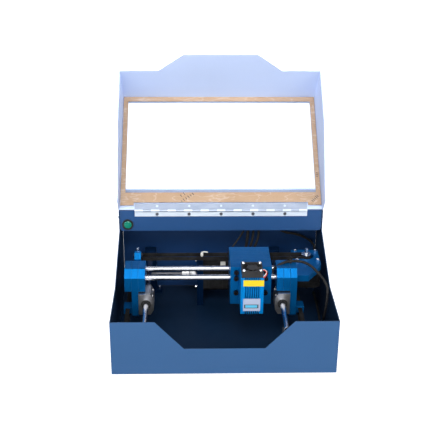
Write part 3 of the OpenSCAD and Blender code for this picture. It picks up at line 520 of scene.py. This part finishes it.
def side_cable(tie):
    """The same cable from the end plates round to the side wall and down to the floor."""
    path = [tie, tie + Vector((10, -0.5, 0)) * MM, tie + Vector((20, -3, -1)) * MM,
            tie + Vector((31, -7, -6)) * MM, tie + Vector((44, -8, -20)) * MM,
            tie + Vector((52, -11, -31)) * MM, tie + Vector((54.5, -19, -40)) * MM,
            tie + Vector((53, -24, -64)) * MM, at(152, 98, 28), at(153, 122, 6), at(155, 170, 4.4),
            at(155, 228, 4.4)]
    ob = tube("side_cable", path, CABLE_R, MATERIALS["cable"])
    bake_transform(ob)
    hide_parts("case_cable")


def cable_tie(tie):
    """The nylon tie that holds the cable down on the end plates."""
    bm = bmesh.new()
    add_block(bm, tie + Vector((-1.4, -3.6, -2.4)) * MM, tie + Vector((1.4, 3.6, -1.8)) * MM, 0.2 * MM)
    add_block(bm, tie + Vector((-1.3, 1.7, -1.9)) * MM, tie + Vector((1.3, 3.4, 1.2)) * MM, 0.3 * MM)
    ring = [tie + Vector((0, math.cos(a) * 2.35, math.sin(a) * 2.35)) * MM
            for a in [math.pi * k / 16 for k in range(-2, 19)]]
    add_tube(bm, ring, 0.45 * MM, 8)
    ob = new_piece("cable_tie", finish_mesh(bm, "cable_tie", False), MATERIALS["black_plastic"])
    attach(ob, "gantry")


def rear_cables():
    """Cables that hang from the board under the shelf to the rear motor and the side wall."""
    floor = sheet_z + 2.2 * MM
    bm = bmesh.new()
    for k, x in enumerate((44, 52.5, 61)):
        path = [at(x, 238, 139), at(x, 232, 125), at(x - 1, 228, 104), at(x - 6 - 3 * k, 230, 70),
                at(x - 14 - 4 * k, 234, 34), at(26 + 5 * k, 240, 10),
                Vector((22 * MM, at(0, 250, 0).y, floor))]
        add_tube(bm, spline(path), (1.9 if k else 2.4) * MM)
    path = [at(46, 240, 140), at(42, 232, 126), at(30, 226, 106), at(14, 218, 86), at(6, 212, 76),
            at(4, 210.5, 72)]
    add_tube(bm, spline(path), 1.4 * MM)
    arc = [at(90, 244, 139), at(96, 246, 114), at(105, 247, 106), at(122, 247, 102.5), at(142, 247, 94),
           at(154, 247, 80), at(155.8, 247, 50), at(155.8, 247, 8)]
    add_tube(bm, spline(arc), 1.9 * MM)
    ob = new_piece("rear_cables", finish_mesh(bm, "rear_cables"), MATERIALS["cable"])
    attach(ob, "case")


def motor_plug():
    """The white plug of the rear motor's cable, with a row of four crimped contacts."""
    top = motor_hi.z
    plug_x = motor_hi.x - 8.5 * MM
    bm = bmesh.new()
    add_block(bm, (plug_x - 4 * MM, motor_lo.y + 13 * MM, top - 0.4 * MM),
              (plug_x + 4 * MM, motor_lo.y + 19.5 * MM, top + 3.8 * MM), 0.5 * MM)
    for k in range(4):
        add_block(bm, (plug_x + (1.8 * k - 3.3) * MM, motor_lo.y + 12.4 * MM, top + 0.8 * MM),
                  (plug_x + (1.8 * k - 2.1) * MM, motor_lo.y + 13.4 * MM, top + 2.6 * MM))
    ob = new_piece("motor_plug", finish_mesh(bm, "motor_plug", False), NYLON)
    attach(ob, "case")


def belt_tie():
    """The nylon tie that joins the X belt at the back, its free end bent over."""
    low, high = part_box("x_belt")
    x = x_rods_lo.x + 109.5 * MM
    y = high.y - 0.5 * MM
    bm = bmesh.new()
    ring = [(y - 1.5 * MM, low.z - 0.9 * MM), (y + 1.5 * MM, low.z - 0.9 * MM),
            (y + 1.5 * MM, high.z + 0.9 * MM), (y - 1.5 * MM, high.z + 0.9 * MM)]
    for (y0, z0), (y1, z1) in zip(ring, ring[1:] + ring[:1]):
        add_block(bm, (x - 1.3 * MM, min(y0, y1) - 0.4 * MM, min(z0, z1) - 0.4 * MM),
                  (x + 1.3 * MM, max(y0, y1) + 0.4 * MM, max(z0, z1) + 0.4 * MM))
    add_block(bm, (x - 2 * MM, y - 3.6 * MM, high.z - 3.5 * MM),
              (x + 2 * MM, y - 1 * MM, high.z + 1.2 * MM), 0.4 * MM)
    base = Vector((x, y - 2.4 * MM, high.z + 0.4 * MM))
    path = [base, base + Vector((0.5, 0, 1.6)) * MM, base + Vector((2.6, 0, 2.6)) * MM,
            base + Vector((6, 0, 2.5)) * MM, base + Vector((9, 0, 1.6)) * MM]
    add_tube(bm, spline(path, 8), 0.85 * MM, 10)
    ob = new_piece("belt_tie", finish_mesh(bm, "belt_tie", False), NYLON)
    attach(ob, "gantry")


def fan_wires():
    """Red and white wires from the fan down into the laser module."""
    for name, material, shift in (("fan_wire_white", WHITE_WIRE, 0.0), ("fan_wire_red", RED_WIRE, 1.7)):
        start = Vector((fan_hi.x - 2.0 * MM, fan_lo.y + (9 - shift) * MM, fan_hi.z - 2.5 * MM))
        path = [start, start + Vector((4.4, -0.5, 0.8)) * MM,
                start + Vector((7.4, -3.6, -1.2 - shift)) * MM,
                start + Vector((4.4, -6.8, -5.0 - shift)) * MM,
                start + Vector((0.6, -5.8, -9.0)) * MM]
        ob = tube(name, path, 0.62 * MM, material, 10)
        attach(ob, "carriage")


def printed_marks():
    """The blank bar, in its dark frame, on the laser's white sticker."""
    low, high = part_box("laser_labels")
    face = low.y
    x0, x1 = laser_lo.x + 5.2 * MM, laser_lo.x + 26 * MM
    z0 = low.z + 4.6 * MM
    layers = (("label_bar_frame", BLACK_PRINT, 0.0, 0.04), ("label_bar", CYAN_PRINT, 0.9, 0.07))
    for name, material, inset, lift in layers:
        bm = bmesh.new()
        add_block(bm, (x0 + inset * 2 * MM, face - lift * MM, z0 + inset * MM),
                  (x1 - inset * 2 * MM, face + 0.05 * MM, z0 + (6 - inset) * MM))
        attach(new_piece(name, finish_mesh(bm, name, False), material), "carriage")


def lid_frame():
    """The closed lid's frame, turned open as it stands: from the hinge pin, in metres."""
    joint = next(j for j in frame["joints"] if j["name"] == "lid_hinge")
    return Matrix.Translation(joint["pos_m"]) @ Matrix.Rotation(-math.radians(joint["range_deg"][1]), 4, "X")


def film_marks():
    """Plain slanted ticks printed on the window's paper film, where it is widest and at its corner."""
    place = lid_frame()
    low = min((place.inverted() @ v.co).z for v in nodes["window_film"].data.vertices)
    bm = bmesh.new()
    groups = ((-52.8, -21.5, 11, 6, 36), (-60.4, -26.8, 3, 2, 36), (148, -19.5, 6, 5, 45),
              (153.7, -62, 3, 3, 80))
    for x, y, length, count, slant in groups:
        along = Vector((math.cos(math.radians(slant)), -math.sin(math.radians(slant)), 0))
        across = Vector((-along.y, along.x, 0))
        for k in range(count):
            middle = Vector((x, y, 0)) + along * length * (k / (count - 1) - 0.5) * 2
            reach = 2.6 if k % 2 else 2.0
            ends = [middle + across * reach, middle - across * reach]
            half = along * 0.55
            ring = [ends[0] - half, ends[0] + half, ends[1] + half, ends[1] - half]
            layers = [[bm.verts.new(place @ Vector((c.x * MM, c.y * MM, low + z * MM))) for c in ring]
                      for z in (-0.04, 0.05)]
            bm.faces.new(layers[0])
            bm.faces.new(reversed(layers[1]))
            for i in range(4):
                j = (i + 1) % 4
                bm.faces.new((layers[0][i], layers[1][i], layers[1][j], layers[0][j]))
    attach(new_piece("film_marks", finish_mesh(bm, "film_marks", False), FILM_PRINT), "lid")


tie_point = head_cable()
side_cable(tie_point)
cable_tie(tie_point)
rear_cables()
motor_plug()
belt_tie()
fan_wires()
printed_marks()
film_marks()


# ---- Studio ----

CAMERA_PLACE = Vector((-0.0426, -1.2041, 0.7268))
CAMERA_PITCH = math.radians(24.23)
CAMERA_YAW = math.radians(-1.72)
CAMERA_ROLL = math.radians(0.515)
CAMERA_LENS = 73.97
FLOOR_GLOW = 0.9
WORLD_LIGHT = 0.17
WORLD_SEEN = 1.0


def make_camera():
    data = bpy.data.cameras.new("camera")
    data.lens = CAMERA_LENS
    data.sensor_width = 36
    ob = bpy.data.objects.new("camera", data)
    bpy.context.scene.collection.objects.link(ob)
    turn = Matrix.Rotation(CAMERA_YAW, 4, "Z") @ Matrix.Rotation(math.pi / 2 - CAMERA_PITCH, 4, "X")
    ob.matrix_world = Matrix.Translation(CAMERA_PLACE) @ turn @ Matrix.Rotation(CAMERA_ROLL, 4, "Z")
    bpy.context.scene.camera = ob


def area_light(name, place, target, size, power, spread=180):
    data = bpy.data.lights.new(name, "AREA")
    data.shape = "RECTANGLE"
    data.size, data.size_y = size
    data.energy = power
    data.spread = math.radians(spread)
    ob = bpy.data.objects.new(name, data)
    ob.location = place
    ob.rotation_euler = (Vector(target) - Vector(place)).to_track_quat("-Z", "Y").to_euler()
    bpy.context.scene.collection.objects.link(ob)


def make_studio():
    bpy.ops.mesh.primitive_plane_add(size=12, location=(0, 0, 0))
    floor = bpy.context.object
    floor.name = "floor"
    s = Shader("floor")
    seen = s.node("LightPath").outputs["Is Camera Ray"]
    s.set(Base_Color=(0.85, 0.86, 0.88), Roughness=0.6, Emission_Color=(1, 1, 1))
    s.set(Emission_Strength=s.ramp(seen, 0.0, FLOOR_GLOW))
    floor.data.materials.append(s.mat)
    world = bpy.data.worlds.new("studio")
    world.use_nodes = True
    tree = world.node_tree
    back = tree.nodes["Background"]
    back.inputs[0].default_value = (1, 1, 1, 1)
    path = tree.nodes.new("ShaderNodeLightPath")
    level = tree.nodes.new("ShaderNodeMapRange")
    level.inputs["To Min"].default_value = WORLD_LIGHT
    level.inputs["To Max"].default_value = WORLD_SEEN
    tree.links.new(path.outputs["Is Camera Ray"], level.inputs["Value"])
    tree.links.new(level.outputs["Result"], back.inputs[1])
    bpy.context.scene.world = world
    bpy.context.scene.view_settings.view_transform = "Standard"
    area_light("key", (-0.6, -1.9, 0.75), (0, 0, 0.1), (1.4, 0.8), 14.8)
    area_light("fill", (0.9, -1.9, 0.6), (0, 0, 0.1), (1.2, 0.8), 8.4)
    area_light("top", (0, -1.2, 1.6), (0, 0.1, 0.2), (1.2, 0.6), 24)
    area_light("rear", (0, 2.3, 0.4), (0, 0, 0.15), (1.8, 0.6), 9)
    for side in (-1, 1):
        area_light("lid_side", (1.3 * side, -0.9, 1.0), (-0.1 * side, 0.2, 0.3), (0.5, 0.5), 0.9, spread=50)


make_camera()
make_studio()
